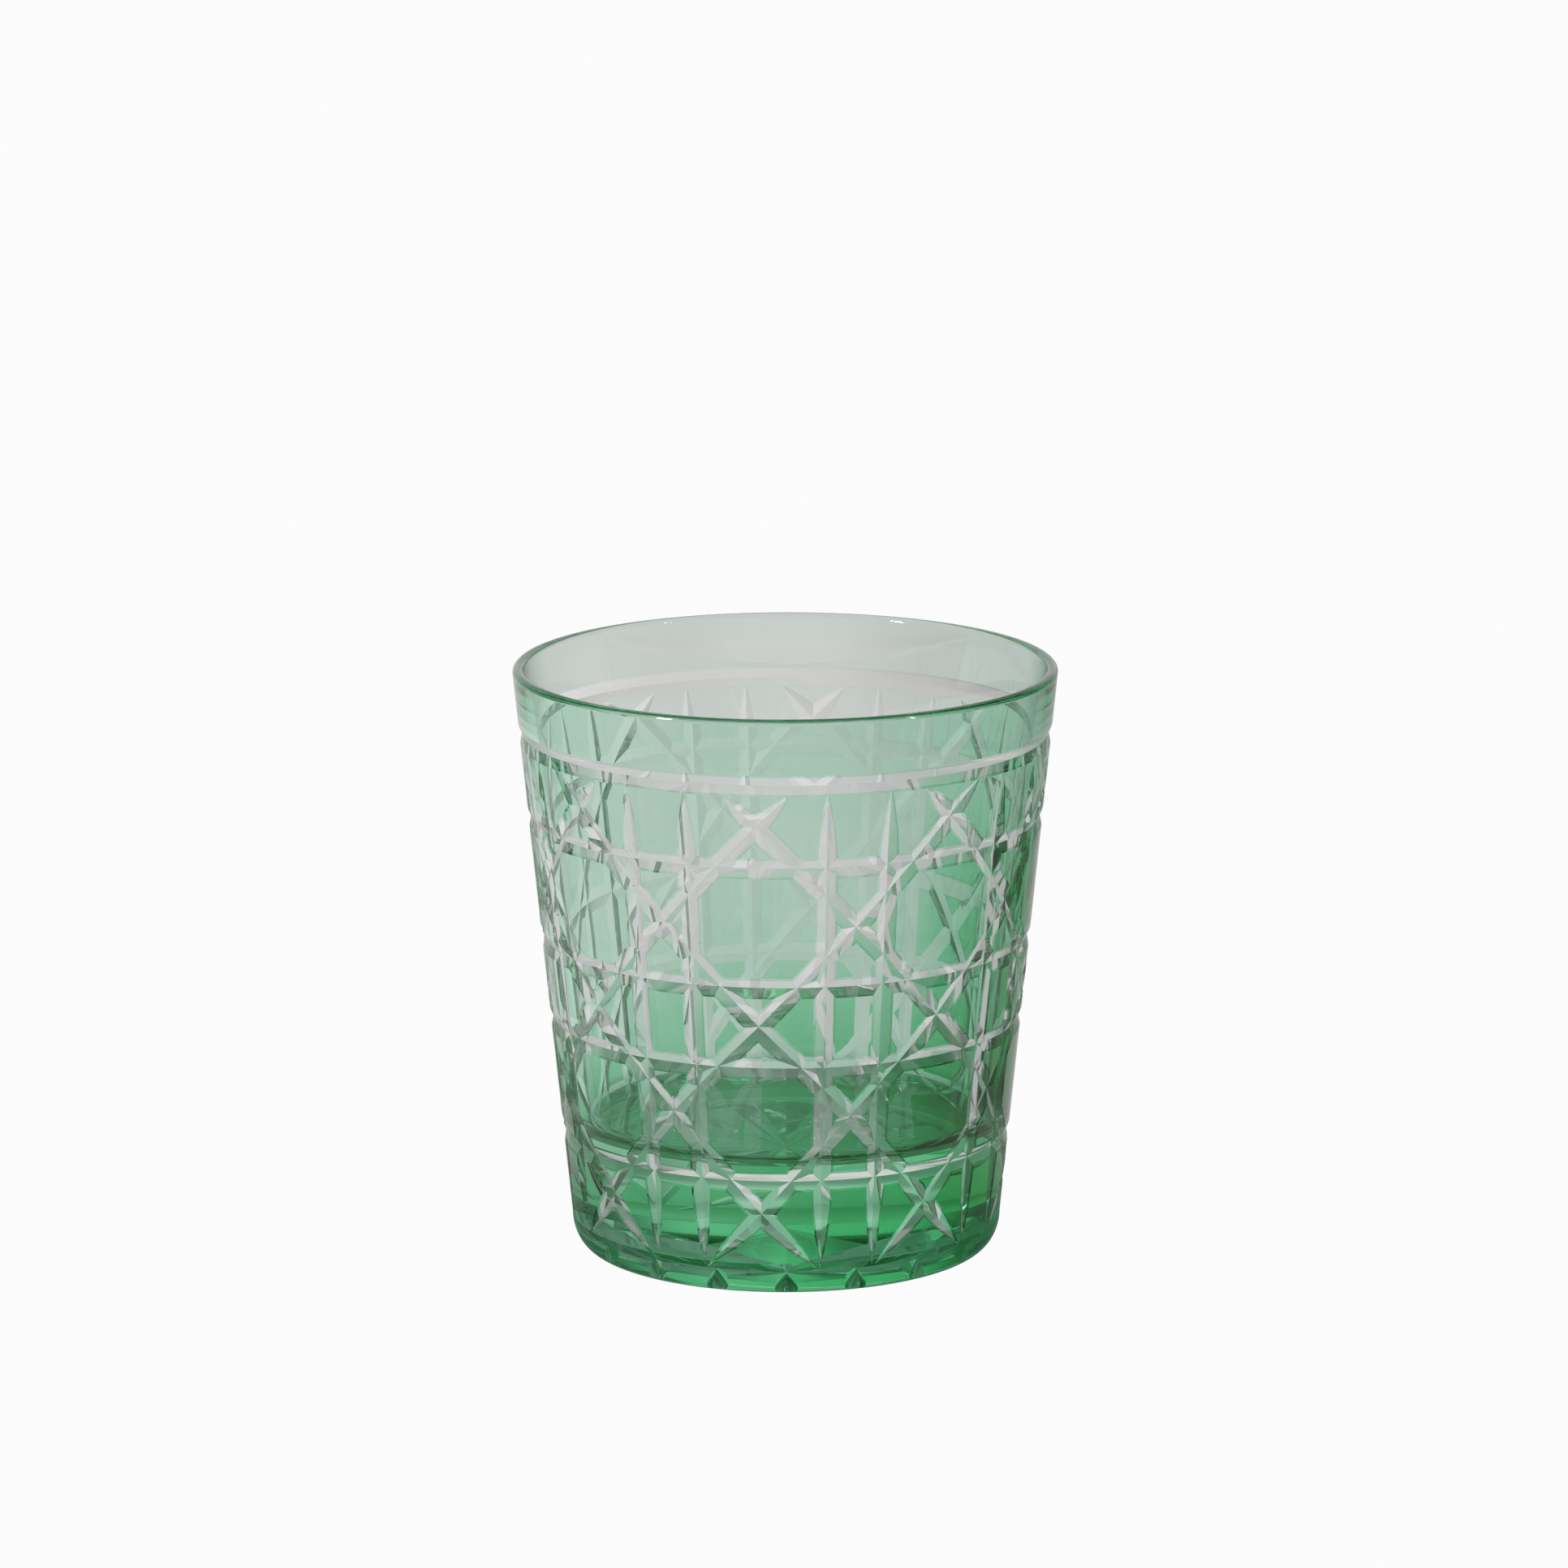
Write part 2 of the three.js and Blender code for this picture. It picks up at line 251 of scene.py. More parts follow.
def straight(start, end, kind):
    (r0, z0), (r1, z1) = start, end
    n = unit(np.array([z1 - z0, r0 - r1]))
    return [start, end], [tuple(n)] * 2, kind


def first_point(strips):
    return strips[0][0][0]


def last_point(strips):
    return strips[-1][0][-1]


def ring_notch(z, inset):
    """A V-shaped cut right round the wall: lower edge, bottom and upper edge."""
    half = RING_CUT - inset / FLANK_SLOPE

    def place(depth, up):
        return tuple(np.array([wall_radius(z), z]) - depth * WALL_NORMAL + up * WALL_ALONG)

    return place(inset, -half), place(RING_CUT * FLANK_SLOPE, 0), place(inset, half)


def wall_strips(inset, kind, cut_kind):
    """The outside from the heel's end to the lip's end: the strips of each band between ring cuts,
    and the two flanks of each ring cut."""
    heel = [heel_place(a, inset) for a in steps(CASING_FOOT, 0, HEEL_STEPS)]
    lip = [lip_place(a, inset) for a in steps(0, CASING_TOP, LIP_STEPS)]
    notches = [ring_notch(z, inset) for z in reversed(RING_HEIGHTS)]
    starts = [heel[-1][0], *(upper for _, _, upper in notches)]
    ends = [*(lower for lower, _, _ in notches), lip[0][0]]
    bands = [[([a, b], [tuple(WALL_NORMAL)] * 2, kind)] for a, b in zip(starts, ends)]
    bands[0].insert(0, strip(heel, kind))
    bands[-1].append(strip(lip, kind))
    flanks = [
        [straight(lower, bottom, cut_kind), straight(bottom, upper, cut_kind)]
        for lower, bottom, upper in notches
    ]
    return bands, flanks


def cup_strips():
    """The cup: down its wall from the lip, round the corner and along the dished floor."""
    wall_foot = FLOOR_HEIGHT + FLOOR_DISH + CORNER_RADIUS
    depth = LIP_HEIGHT - wall_foot
    tiny = 0.01

    def radius(z):
        down = (LIP_HEIGHT - z) / depth
        return wall_radius(z) - LIP_WALL - (FLOOR_WALL - LIP_WALL) * math.sin(down * math.pi / 2)

    wall = []
    for z in steps(LIP_HEIGHT, wall_foot, CUP_STEPS):
        slope = (radius(z + tiny) - radius(z - tiny)) / (2 * tiny)
        wall.append(((radius(z), z), tuple(unit(np.array([-1, slope])))))
    centre = radius(wall_foot) - CORNER_RADIUS
    corner = []
    for degrees in steps(0, 90, CORNER_STEPS):
        a = math.radians(degrees)
        place = (centre + CORNER_RADIUS * math.cos(a), wall_foot - CORNER_RADIUS * math.sin(a))
        corner.append((place, (-math.cos(a), math.sin(a))))
    floor = []
    for t in steps(1, 0, DISH_STEPS):
        place = (centre * t, FLOOR_HEIGHT + FLOOR_DISH * t * t)
        floor.append((place, tuple(unit(np.array([-2 * FLOOR_DISH * t / centre, 1])))))
    return [strip(wall, POLISHED), strip(corner, POLISHED), strip(floor, POLISHED)]


# ---- cuts --------------------------------------------------------------------------------------


def on_wall(degrees, z):
    """A point on the outside of the wall, and its normal."""
    a = math.radians(degrees)
    return np.array(spun(wall_radius(z), z, a)), unit(np.array(spun(1, -TAPER, a)))


def wheel_cut(stations, half_width):
    """A V-shaped wheel cut along stations on the wall, each degrees, height and share of full depth."""
    places = [on_wall(d, z) for d, z, _ in stations]
    along = np.gradient(np.array([p for p, _ in places]), axis=0)
    sections = []
    for (point, normal), direction, (_, _, share) in zip(places, along, stations):
        across = unit(np.cross(direction, normal))
        depth = half_width * FLANK_SLOPE * share
        reach = (depth + CUT_CLEARANCE) / FLANK_SLOPE
        top = point + normal * CUT_CLEARANCE
        sections.append([point - normal * depth, top - across * reach, top + across * reach])
    return prism_through("cut", sections)


def upright(degrees):
    """A cut straight up the wall, which runs out above the second ring and below the lowest ring."""

    def end(start, tip, t):
        return degrees, start + (tip - start) * t, 1 - t**TIP_POWER

    stations = [end(RING_HEIGHTS[1], UPRIGHT_TIP, t) for t in steps(1, 0, UPRIGHT_TIP_STEPS)]
    stations += [end(RING_HEIGHTS[-1], HEEL_TIP, t) for t in steps(0, 1, CUT_STEPS)]
    return wheel_cut(stations, UPRIGHT_CUT)


def diagonal(degrees, hand):
    """A cut from a tip in the shoulder through all the crossings to a tip in the heel. It winds round
    the glass by half a period between two crossings, to one hand or the other."""
    first, last = CROSSING_HEIGHTS[0], CROSSING_HEIGHTS[-1]
    winding = (len(CROSSING_HEIGHTS) - 1) * HALF_PERIOD
    stations = [
        (degrees - hand * TOP_ARM_TURN * t, first + (ARM_TIP - first) * t, 1 - t**TIP_POWER)
        for t in steps(1, 0, ARM_TIP_STEPS)
    ]
    for level, (high, low) in enumerate(zip(CROSSING_HEIGHTS, CROSSING_HEIGHTS[1:])):
        stations += [
            (degrees + hand * HALF_PERIOD * (level + t), high + (low - high) * t, 1)
            for t in steps(0, 1, CUT_STEPS)[1:]
        ]
    stations += [
        (
            degrees + hand * (winding + HEEL_ARM_TURN * t),
            last + (HEEL_TIP - last) * t,
            1 - t**TIP_POWER,
        )
        for t in steps(0, 1, CUT_STEPS)[1:]
    ]
    return wheel_cut(stations, DIAGONAL_CUT)


def pattern_cuts():
    """All the cuts of the wall but the rings, as one mesh."""
    cuts = []
    for i in range(REPEATS):
        wide = FRONT_TURN + PERIOD * i
        cuts += [diagonal(wide, 1), diagonal(wide, -1)]
        cuts += [upright(wide + HALF_PERIOD - UPRIGHT_OFFSET)]
        cuts += [upright(wide + HALF_PERIOD + UPRIGHT_OFFSET)]
    return combine(cuts[0], cuts[1:], "UNION")


def star_cut(degrees):
    """One point of the star: it deepens from the centre, then runs out in a round end at the foot."""
    a = math.radians(degrees)
    outward = np.array([math.sin(a), -math.cos(a), 0])
    across = np.array([math.cos(a), math.sin(a), 0])
    up = np.array([0, 0, 1])
    run = STAR_RADIUS - STAR_DEEPEST_RADIUS
    deepening = STAR_DEPTH - STAR_CENTRE_DEPTH
    stations = [
        (STAR_DEEPEST_RADIUS * t, STAR_CENTRE_DEPTH + deepening * t**STAR_POWER)
        for t in steps(0, 1, STAR_STEPS)[:-1]
    ]
    for turn in steps(0, 90, STAR_END_STEPS):
        t = math.radians(turn)
        stations.append((STAR_DEEPEST_RADIUS + run * math.sin(t), STAR_DEPTH * math.cos(t)))
    sections = []
    for r, depth in stations:
        reach = (depth + CUT_CLEARANCE) / math.tan(math.radians(STAR_FLANK))
        below = outward * r - up * CUT_CLEARANCE
        sections.append([outward * r + up * depth, below - across * reach, below + across * reach])
    return prism_through("star", sections)


# ---- glass -------------------------------------------------------------------------------------
# A span is where a value starts and stops fading: two places in metres, or two shares where it
# belongs to noise or to how aslant a face is seen.

GLASS_IOR = 1.54
NOISE_SPAN = (0.3, 0.7)
DRIFT_SCALE, DRIFT = 35, 0.12
WAVE_SCALE, WAVE_DETAIL, WAVE_HEIGHT, WAVE_STRENGTH = 90, 1.0, 0.00004, 0.3
CRYSTAL_TINTS = (0.985, 0.987, 0.986), (0.972, 0.975, 0.974)
FUSED_TINTS = (1.0, 1.0, 1.0), (0.995, 0.998, 0.996)
KEPT_AT_FULL_STRENGTH = (0.368, 0.785, 0.535)  # of red, green and blue, by green glass of depth 1
FOOT_SPAN, FOOT_STRENGTH = (0.022, 0.044), 0.95
# Painted shade: the foot's tint deepens towards the +X side
PAINTED_SHADE_FOOT_SIDE_SPAN, PAINTED_SHADE_FOOT_SIDE = (-0.03, 0.025), (0.75, 1.3)
# Painted reflection: the casing's tint weakens towards the back
PAINTED_REFLECTION_SPAN, FRONT_STRENGTH, PAINTED_REFLECTION_BACK_STRENGTH = (-0.04, 0.03), 0.38, 0.08
# Painted shade: the tint deepens towards the +X side, most low on the wall
PAINTED_SHADE_SIDE_SPAN, PAINTED_SHADE_SIDE_STRENGTH = (0.016, 0.044), 1.1
PAINTED_SHADE_HEIGHT_SPAN, PAINTED_SHADE_HEIGHT_GAIN = (0.035, 0.09), (1.6, 0.1)
LONGEST_PATH = 4
FILM_STRENGTH, FILM_DRIFT = 0.5, 0.1
HAZE_SPAN, HAZE, HAZE_ROUGHNESS = (0.030, 0.065), (0.30, 0.18), 0.45
STAR_SPAN, STAR_HAZE = (0.0034, 0.0045), 0.3
# Painted shade: how far faces seen aslant are darkened, and the dark colour they take
PAINTED_EDGE_SPAN, PAINTED_EDGE_SHADE, PAINTED_EDGE_COLOUR = (0.55, 1.0), 0.8, (0.02, 0.05, 0.035, 1)


class Nodes:
    """The nodes of a material or a world, added and linked by short calls."""

    def __init__(self, owner, output="ShaderNodeOutputMaterial"):
        self.owner = owner
        owner.use_nodes = True
        self.tree = owner.node_tree
        self.tree.nodes.clear()
        self.output = self.tree.nodes.new(output)

    def add(self, kind, values=(), **settings):
        node = self.tree.nodes.new(kind)
        for key, value in settings.items():
            setattr(node, key, value)
        for key, value in dict(values).items():
            if isinstance(value, bpy.types.NodeSocket):
                self.tree.links.new(value, node.inputs[key])
            else:
                node.inputs[key].default_value = value
        return node

    def place(self, space="Object"):
        return self.add("ShaderNodeTexCoord").outputs[space]

    def axes(self, space="Object"):
        return self.add("ShaderNodeSeparateXYZ", {"Vector": self.place(space)}).outputs

    def noise(self, scale, detail=2.0):
        values = {"Vector": self.place(), "Scale": scale, "Detail": detail}
        return self.add("ShaderNodeTexNoise", values).outputs["Fac"]

    def tints(self, factor, low, high):
        ramp = self.add("ShaderNodeValToRGB", {"Fac": factor})
        for element, position, tint in zip(ramp.color_ramp.elements, NOISE_SPAN, (low, high)):
            element.position, element.color = position, (*tint, 1)
        return ramp.outputs["Color"]

    def fade(self, value, low, high, at_low, at_high):
        """A smooth change from one value to another as the input goes from low to high."""
        node = self.add(
            "ShaderNodeMapRange",
            {"Value": value, "From Min": low, "From Max": high, "To Min": at_low, "To Max": at_high},
            interpolation_type="SMOOTHSTEP",
        )
        return node.outputs["Result"]

    def drift(self, middle, share):
        """A value that wanders to both sides of its middle, as hand-made glass does."""
        ends = (1 - share) * middle, (1 + share) * middle
        return self.fade(self.noise(DRIFT_SCALE), *NOISE_SPAN, *ends)

    def maths(self, operation, first, second):
        node = self.add("ShaderNodeMath", {0: first, 1: second}, operation=operation)
        return node.outputs["Value"]

    def mixed_colour(self, share, first, second):
        values = {"Factor": share, "A": first, "B": second}
        return self.add("ShaderNodeMix", values, data_type="RGBA").outputs["Result"]

    def mixed_shader(self, share, first, second):
        values = {0: share, 1: first.outputs[0], 2: second.outputs[0]}
        return self.add("ShaderNodeMixShader", values)

    def finish(self, shader):
        self.tree.links.new(shader.outputs[0], self.output.inputs["Surface"])
        return self.owner


def crystal_colour(nodes):
    return nodes.tints(nodes.noise(DRIFT_SCALE), *CRYSTAL_TINTS)


def fused_colour(nodes):
    return nodes.tints(nodes.noise(DRIFT_SCALE), *FUSED_TINTS)


def kept_colour(nodes, depth):
    """The colour that green glass of a depth lets through."""
    colour = nodes.add("ShaderNodeCombineColor")
    for channel, kept in zip(("Red", "Green", "Blue"), KEPT_AT_FULL_STRENGTH):
        nodes.tree.links.new(nodes.maths("POWER", kept, depth), colour.inputs[channel])
    return colour.outputs["Color"]


def foot_colour(nodes):
    """The film of green the foot keeps between the points of its star."""
    return kept_colour(nodes, nodes.drift(FILM_STRENGTH, FILM_DRIFT))


def casing_colour_and_painted_shade(nodes, share, slant):
    """The colour light keeps on its way through a share of the casing. Its tint deepens towards the
    foot;
    painted shade deepens it on the +X side, at the foot and low on the wall, and a painted reflection
    weakens it towards the back. Its thickness drifts as in hand-made glass, and light that crosses it
    aslant goes through more of it."""
    axes = nodes.axes()
    foot = nodes.fade(axes["Z"], *FOOT_SPAN, FOOT_STRENGTH, 0.0)
    # Painted shade: deeper on the +X side at the foot
    foot = nodes.maths("MULTIPLY", foot, nodes.fade(axes["X"], *PAINTED_SHADE_FOOT_SIDE_SPAN, *PAINTED_SHADE_FOOT_SIDE))
    # Painted reflection: the tint is paler towards the back
    front = nodes.fade(axes["Y"], *PAINTED_REFLECTION_SPAN, FRONT_STRENGTH, PAINTED_REFLECTION_BACK_STRENGTH)
    # Painted shade: deeper on the +X side, most low on the wall
    side = nodes.fade(axes["X"], *PAINTED_SHADE_SIDE_SPAN, 0.0, PAINTED_SHADE_SIDE_STRENGTH)
    side = nodes.maths("MULTIPLY", side, nodes.fade(axes["Z"], *PAINTED_SHADE_HEIGHT_SPAN, *PAINTED_SHADE_HEIGHT_GAIN))
    wall = nodes.maths("ADD", nodes.maths("ADD", foot, front), side)
    depth = nodes.maths("MULTIPLY", wall, nodes.drift(share, DRIFT))
    if slant:
        depth = nodes.maths("MULTIPLY", depth, slanted_path(nodes))
    return kept_colour(nodes, depth)


def slanted_path(nodes):
    """How many times its thickness light travels through a thin layer that it crosses aslant."""
    facing = nodes.add("ShaderNodeLayerWeight", {"Blend": 0.5}).outputs["Facing"]
    cosine = nodes.maths("MAXIMUM", nodes.maths("SUBTRACT", 1.0, facing), 1 / LONGEST_PATH)
    return nodes.maths("DIVIDE", 1.0, cosine)


def painted_edge_shade(nodes, colour):
    """Painted shade: glass seen along its surface is mixed towards a dark colour."""
    facing = nodes.add("ShaderNodeLayerWeight", {"Blend": 0.5}).outputs["Facing"]
    return nodes.mixed_colour(nodes.fade(facing, *PAINTED_EDGE_SPAN, 0.0, PAINTED_EDGE_SHADE), colour, PAINTED_EDGE_COLOUR)


def waves(nodes):
    """The normals of a faintly wavy face."""
    values = {
        "Height": nodes.noise(WAVE_SCALE, WAVE_DETAIL),
        "Strength": WAVE_STRENGTH,
        "Distance": WAVE_HEIGHT,
    }
    return nodes.add("ShaderNodeBump", values).outputs["Normal"]


def glass(nodes, colour, normal, roughness):
    values = {
        "Base Color": colour,
        "Roughness": roughness,
        "IOR": GLASS_IOR,
        "Transmission Weight": 1.0,
        "Normal": normal,
    }
    return nodes.add("ShaderNodeBsdfPrincipled", values)


def polished(name, colour):
    """Polished glass: its faces are faintly wavy."""
    nodes = Nodes(bpy.data.materials.new(name))
    return nodes.finish(glass(nodes, painted_edge_shade(nodes, colour(nodes)), waves(nodes), 0.0))


def satin(name, colour):
    """A cut face: polished glass with a haze that the cutting wheel left, fainter in the star."""
    nodes = Nodes(bpy.data.materials.new(name))
    height = nodes.axes()["Z"]
    haze = nodes.fade(height, *HAZE_SPAN, *HAZE)
    haze = nodes.maths("MULTIPLY", haze, nodes.fade(height, *STAR_SPAN, STAR_HAZE, 1.0))
    shaded, normal = painted_edge_shade(nodes, colour(nodes)), waves(nodes)
    clear = glass(nodes, shaded, normal, 0.0)
    hazy = glass(nodes, shaded, normal, HAZE_ROUGHNESS)
    return nodes.finish(nodes.mixed_shader(haze, clear, hazy))


def fused(name, colour):
    """Where the two glasses are one: light goes straight on and only takes the glass's tint."""
    nodes = Nodes(bpy.data.materials.new(name))
    return nodes.finish(nodes.add("ShaderNodeBsdfTransparent", {"Color": colour(nodes)}))


# The materials of the two glasses, in the order of the face kinds
CLEAR = [
    polished("clear_crystal", crystal_colour),
    fused("fused_crystal", fused_colour),
    polished("green_foot", foot_colour),
    satin("cut_faces", crystal_colour),
]
GREEN = [
    polished("green_casing", lambda nodes: casing_colour_and_painted_shade(nodes, 1.0, False)),
    fused("fused_casing", lambda nodes: casing_colour_and_painted_shade(nodes, 0.5, True)),
]
GREEN += [GREEN[POLISHED], GREEN[POLISHED]]


# ---- the tumbler -------------------------------------------------------------------------------


def finished(name, mesh, materials, slot, *nodes):
    """The mesh as a piece of the tumbler, standing for CAD nodes where it has them."""
    mesh.name = name
    mesh.materials.clear()
    for material in materials:
        mesh.materials.append(material)
    kinds = np.zeros(len(mesh.polygons), np.int32)
    mesh.attributes["kind"].data.foreach_get("value", kinds)
    normals = glass_normals(mesh)
    normals /= np.linalg.norm(normals, axis=1, keepdims=True)
    mesh.attributes.remove(mesh.attributes["kind"])
    mesh.attributes.remove(mesh.attributes["glass_normal"])
    mesh.polygons.foreach_set("material_index", kinds)
    mesh.polygons.foreach_set("use_smooth", np.ones(len(mesh.polygons), bool))
    mesh.normals_split_custom_set(normals.tolist())
    piece = to_object(name, mesh)
    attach(piece, "root")
    if nodes:
        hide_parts(*nodes)


def crystal_blank():
    """The uncut body, which steps back under the casing by its thickness."""
    inset = CASING + FUSE_GAP
    bands, flanks = wall_strips(inset, FUSED, CUT)
    foot = [heel_place(a) for a in steps(90, CASING_FOOT, FOOT_STEPS)]
    lip = [lip_place(a) for a in steps(CASING_TOP, 180, LIP_TOP_STEPS)]
    strips = [
        ([(0, 0), (FOOT_RADIUS, 0)], [(0, -1)] * 2, FOOT),
        strip(foot, POLISHED),
        straight(foot[-1][0], first_point(bands[0]), FUSED),
    ]
    for band, notch in zip(bands, [*flanks, []]):
        strips += [*band, *notch]
    strips.append(straight(lip_place(CASING_TOP, inset)[0], lip[0][0], FUSED))
    strips.append(strip(lip, POLISHED))
    return turned("crystal_blank", strips + cup_strips())


def casing_blanks():
    """The uncut casing, as one blank for each band between ring cuts. Each blank's outline goes up
    its outside and down its inside."""
    outer, _ = wall_strips(0, POLISHED, POLISHED)
    inner, _ = wall_strips(CASING, FUSED, FUSED)
    blanks = []
    for i, (out, back) in enumerate(zip(outer, inner)):
        turned_back = [
            (points[::-1], [(-n[0], -n[1]) for n in normals[::-1]], kind)
            for points, normals, kind in reversed(back)
        ]
        top_kind = FUSED if i == len(outer) - 1 else POLISHED
        foot_kind = FUSED if i == 0 else POLISHED
        top = straight(last_point(out), last_point(back), top_kind)
        foot = straight(first_point(back), first_point(out), foot_kind)
        blanks.append(turned("casing_blank", [*out, top, *turned_back, foot]))
    return blanks


def islands(mesh):
    """The separate bodies of a mesh, each as a solid. Every vertex takes the lowest label that it is
    joined to, until no label changes."""
    label = np.arange(len(mesh.vertices))
    edges = np.zeros(len(mesh.edges) * 2, np.int32)
    mesh.edges.foreach_get("vertices", edges)
    edges = edges.reshape(-1, 2)
    while True:
        low = np.minimum(label[edges[:, 0]], label[edges[:, 1]])
        new = label.copy()
        np.minimum.at(new, edges[:, 0], low)
        np.minimum.at(new, edges[:, 1], low)
        new = new[new]
        if (new == label).all():
            break
        label = new
    normals = glass_normals(mesh)
    kinds = mesh.attributes["kind"].data
    places = [tuple(c / MM for c in v.co) for v in mesh.vertices]
    found = {}
    for face in mesh.polygons:
        solid, index = found.setdefault(label[face.vertices[0]], (Solid(), {}))
        corners = []
        for v in face.vertices:
            if v not in index:
                index[v] = len(solid.points)
                solid.points.append(places[v])
            corners.append(index[v])
        ends = slice(face.loop_start, face.loop_start + face.loop_total)
        solid.face(corners, normals[ends], kinds[face.index].value)
    return [solid for solid, _ in found.values()]


def middle(solid):
    points = np.array(solid.points)
    return (points.min(0) + points.max(0)) / 2


def add_body(cuts):
    body = combine(crystal_blank(), [cuts.copy()], "DIFFERENCE")
    points = [star_cut(360 / STAR_POINTS * i) for i in range(STAR_POINTS)]
    star = combine(points[0], points[1:], "UNION")
    body = combine(body, [star], "DIFFERENCE")
    finished("cut_crystal", body, CLEAR, "clear_crystal", "crystal_body")


def add_bands(bands):
    """The islands that go right round the glass, from the top down."""
    bands.sort(key=lambda band: -middle(band)[2])
    for place, solid in zip(("rim", "shoulder", "heel"), bands):
        node = f"{place}_casing"
        finished(f"cased_{place}", solid.to_mesh(node), GREEN, "green_casing", node)


# The panes of one repeat: their name, their turn from the middle of the wide cells, and their height
PANES = [
    ("upper_octagon", 0, 61.7),
    ("lower_octagon", 0, 28.9),
    ("upper_arrow_down", HALF_PERIOD, 66.6),
    ("upper_arrow_up", HALF_PERIOD, 56.7),
    ("waist_block", HALF_PERIOD, 45.1),
    ("waist_wing_left", -HALF_PERIOD / 2, 45.3),
    ("waist_wing_right", HALF_PERIOD / 2, 45.3),
]


def add_panes(found):
    """The panes that have CAD nodes. The other islands are given back."""
    middles = np.array([middle(solid) for solid in found])
    taken = set()
    for kind, turn, z in PANES:
        for i in range(REPEATS):
            point, _ = on_wall(FRONT_TURN + PERIOD * i + turn, z)
            nearest = int(np.argmin(np.linalg.norm(middles - point, axis=1)))
            taken.add(nearest)
            node = f"{kind}_{i + 1}"
            finished(f"cased_{node}", found[nearest].to_mesh(node), GREEN, "green_casing", node)
    return [solid for i, solid in enumerate(found) if i not in taken]


def add_chips(chips):
    """The smallest islands, which have no CAD nodes, as one piece for each height they lie at."""
    levels = {}
    for chip in chips:
        levels.setdefault(round(middle(chip)[2]), []).append(chip)
    for z, solids in levels.items():
        joined = Solid()
        for solid in solids:
            first = len(joined.points)
            joined.points += solid.points
            joined.kinds += solid.kinds
            joined.normals += solid.normals
            joined.faces += [tuple(first + v for v in f) for f in solid.faces]
        finished(f"cased_chips_{z}", joined.to_mesh("chips"), GREEN, "green_casing")


def add_casing(cuts):
    bands, panes = [], []
    for blank in casing_blanks():
        for solid in islands(combine(blank, [cuts.copy()], "DIFFERENCE")):
            round_the_axis = np.hypot(*middle(solid)[:2]) < RIM_RADIUS / 2
            (bands if round_the_axis else panes).append(solid)
    add_bands(bands)
    add_chips(add_panes(panes))


# ---- camera, floor and light -------------------------------------------------------------------
# The camera sees the floor and the world white. To the glass they are greyer, with gradients that
# give it something to show. Places are in metres and angles in radians. The spans of the world are
# parts of a direction whose length is 1.

CAMERA_PLACE, CAMERA_TILT, CAMERA_ROLL = (-0.00023, -1.3682, 0.3762), -0.2158, -0.002
SENSOR_WIDTH, LENS = 36, 199.18  # millimetres
CLIP_START, CLIP_END = 0.05, 50
SEEN_COLOUR, SEEN_STRENGTH = (1, 1, 1, 1), 0.97
STUDIO_COLOUR = (1, 0.99, 0.985, 1)
FLOOR_REACH, FLOOR_GAP = 6, 0.00002
FLOOR_SIDE_SPAN, FLOOR_SIDES = (-0.3, 0.3), (0.81, 0.44)
# Painted shadow: the floor is darker under and near the tumbler
PAINTED_SHADOW_SPAN, FLOOR_PAINTED_SHADOW = (0.025, 0.10), 0.62
TINTED_SPAN, FLOOR_TINT = (0.030, 0.085), (0.24, 0.60, 0.37, 1)  # by light that came through the glass
WORLD_SIDE_SPAN, WORLD_SIDES = (0.25, 0.8), (0.81, 0.12)
LEFT_SPAN, DARK_LEFT = (-0.9, -0.35), 0.1
CEILING_SPAN, CEILING = (0.30, 0.70), 0.4
FRONT_SPAN, FRONT_GAIN = (-0.9, -0.3), 1.3
LAMP_AIM = Vector((0, 0, 0.05))


def add_camera():
    data = bpy.data.cameras.new("camera")
    data.sensor_width, data.lens = SENSOR_WIDTH, LENS
    data.clip_start, data.clip_end = CLIP_START, CLIP_END
    camera = to_object("camera", data)
    tilt = Matrix.Rotation(math.pi / 2 + CAMERA_TILT, 4, "X")
    roll = Matrix.Rotation(CAMERA_ROLL, 4, "Z")
    camera.matrix_world = Matrix.Translation(CAMERA_PLACE) @ tilt @ roll
    bpy.context.scene.camera = camera


def stage_shader(nodes, kind, colour, level):
    """What the camera sees straight away, and what lights the glass and shows through it."""
    around = nodes.add(kind, {"Color": colour, "Strength": level})
    seen = nodes.add(kind, {"Color": SEEN_COLOUR, "Strength": SEEN_STRENGTH})
    path = nodes.add("ShaderNodeLightPath")
    return nodes.mixed_shader(path.outputs["Is Camera Ray"], around, seen)


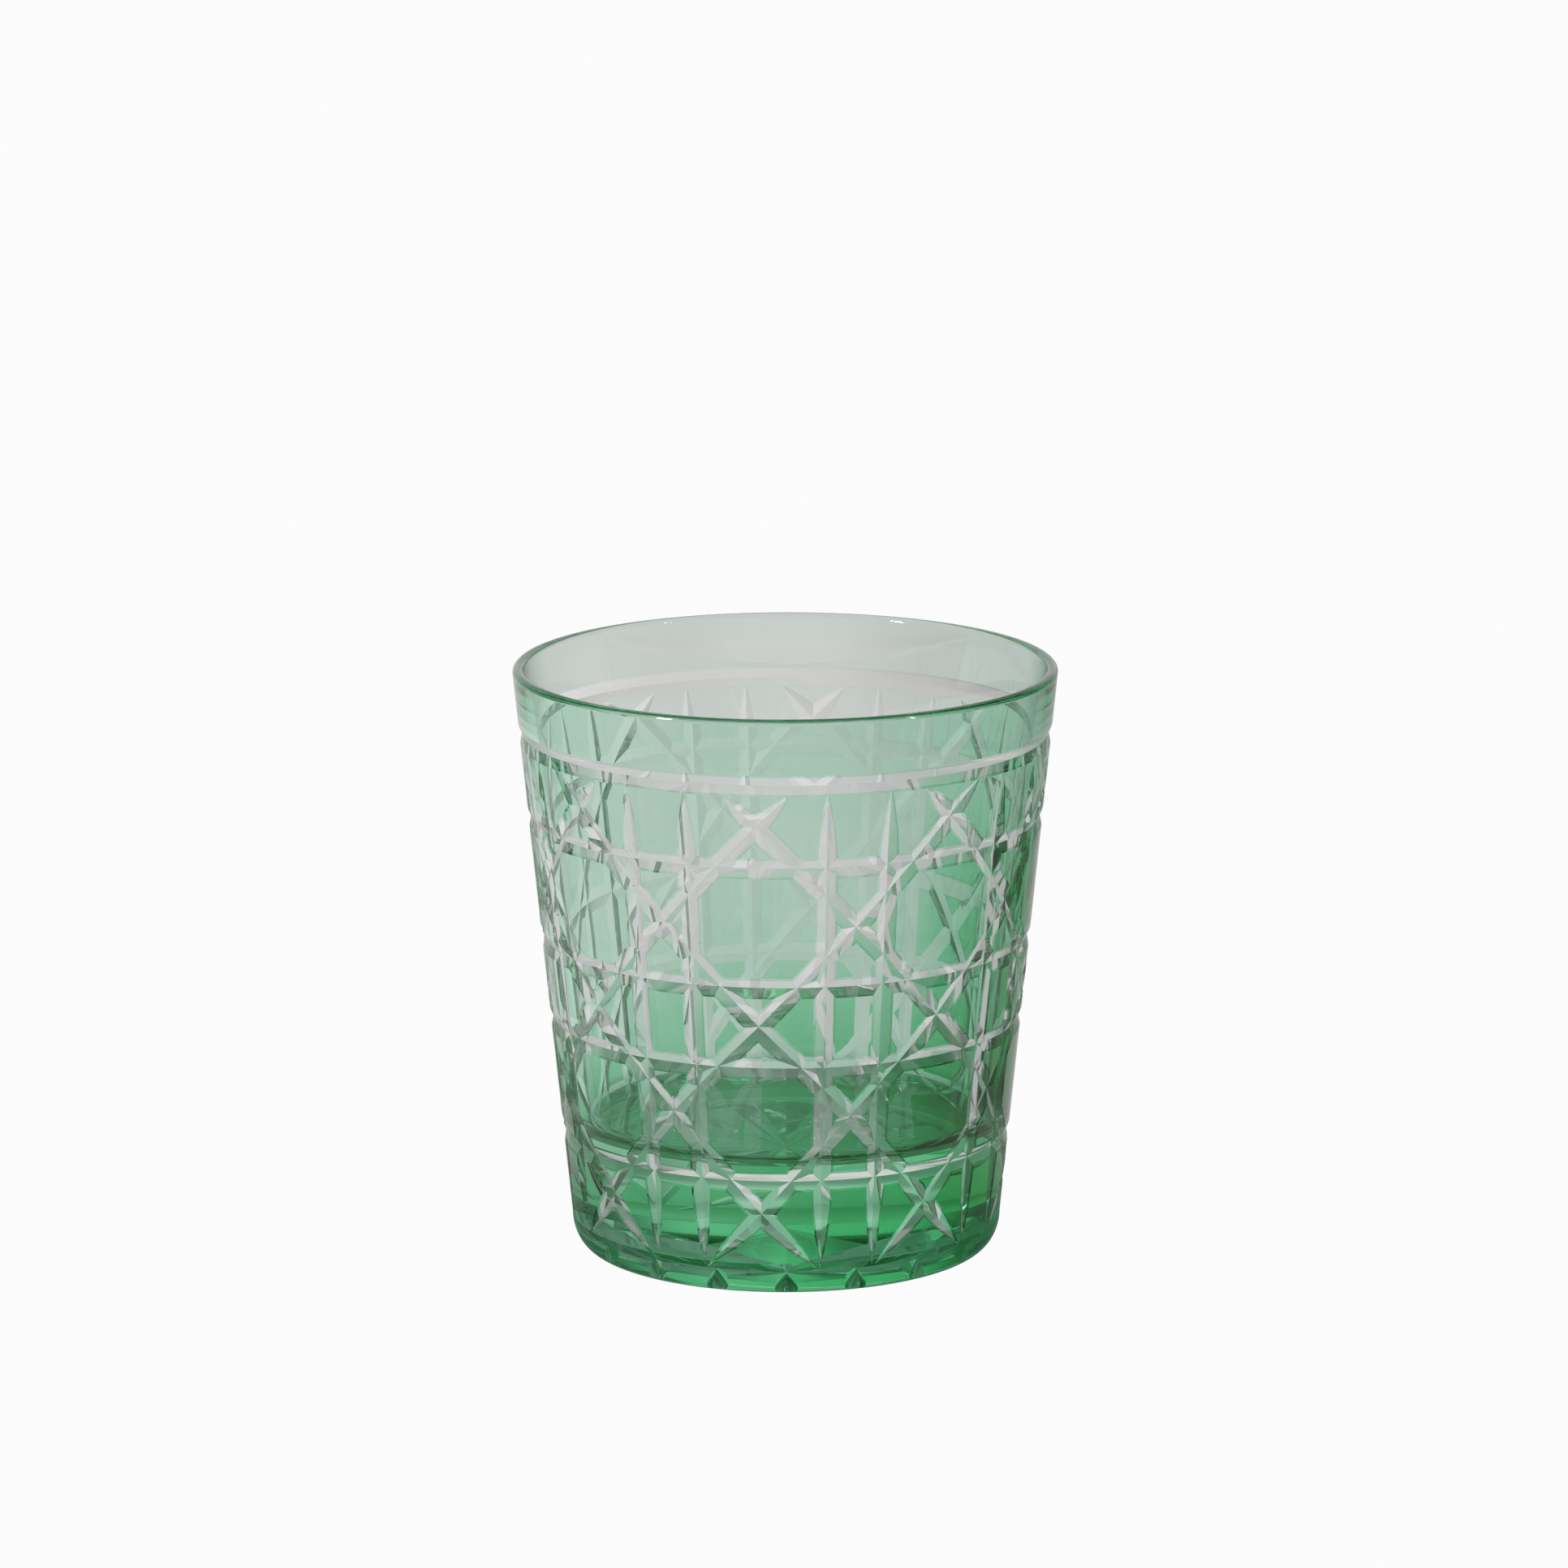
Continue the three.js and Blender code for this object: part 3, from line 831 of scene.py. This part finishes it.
def add_floor():
    mesh = bpy.data.meshes.new("floor")
    corners = [(x * FLOOR_REACH, y * FLOOR_REACH, 0) for x, y in ((-1, -1), (1, -1), (1, 1), (-1, 1))]
    mesh.from_pydata(corners, [], [(0, 1, 2, 3)])
    floor = to_object("floor", mesh)
    floor.location.z = -FLOOR_GAP
    nodes = Nodes(bpy.data.materials.new("pale_floor"))
    length = nodes.add("ShaderNodeVectorMath", {0: nodes.place()}, operation="LENGTH")
    reach = length.outputs["Value"]
    side = nodes.fade(nodes.axes()["X"], *FLOOR_SIDE_SPAN, *FLOOR_SIDES)
    # Painted shadow of the tumbler, darkest near its foot
    level = nodes.maths("MULTIPLY", side, nodes.fade(reach, *PAINTED_SHADOW_SPAN, FLOOR_PAINTED_SHADOW, 1.0))
    untinted = nodes.fade(reach, *TINTED_SPAN, 0.0, 1.0)
    colour = nodes.mixed_colour(untinted, FLOOR_TINT, STUDIO_COLOUR)
    shader = stage_shader(nodes, "ShaderNodeEmission", colour, level)
    mesh.materials.append(nodes.finish(shader))


def add_world():
    nodes = Nodes(bpy.data.worlds.new("studio"), "ShaderNodeOutputWorld")
    axes = nodes.axes("Generated")
    right = nodes.fade(axes["X"], *WORLD_SIDE_SPAN, *WORLD_SIDES)
    left = nodes.fade(axes["X"], *LEFT_SPAN, DARK_LEFT, 1.0)
    height = nodes.fade(axes["Z"], *CEILING_SPAN, 1.0, CEILING)
    front = nodes.fade(axes["Y"], *FRONT_SPAN, FRONT_GAIN, 1.0)
    level = nodes.maths("MULTIPLY", nodes.maths("MULTIPLY", right, left), height)
    level = nodes.maths("MULTIPLY", level, front)
    shader = stage_shader(nodes, "ShaderNodeBackground", STUDIO_COLOUR, level)
    bpy.context.scene.world = nodes.finish(shader)


def add_light(name, place, size, power):
    """A soft box that faces the tumbler. It shows in the glass's shine but not through the glass."""
    data = bpy.data.lights.new(name, "AREA")
    data.shape, data.size, data.size_y, data.energy = "RECTANGLE", size[0], size[1], power
    lamp = to_object(name, data)
    lamp.location = place
    lamp.rotation_euler = (LAMP_AIM - Vector(place)).to_track_quat("-Z", "Y").to_euler()
    lamp.visible_camera = False
    lamp.visible_transmission = False


def set_looks():
    scene = bpy.context.scene
    scene.view_settings.view_transform = "Standard"
    scene.cycles.max_bounces = 40
    scene.cycles.transmission_bounces = 40
    scene.cycles.glossy_bounces = 24
    scene.cycles.transparent_max_bounces = 64
    scene.cycles.use_denoising = True


add_camera()
set_looks()
add_floor()
add_world()
add_light("window", place=(-1.3, -0.9, 1.0), size=(0.16, 0.26), power=14)
add_light("fill", place=(1.3, -0.8, 0.9), size=(0.12, 0.12), power=2)
wall_cuts = pattern_cuts()
add_body(wall_cuts)
add_casing(wall_cuts)
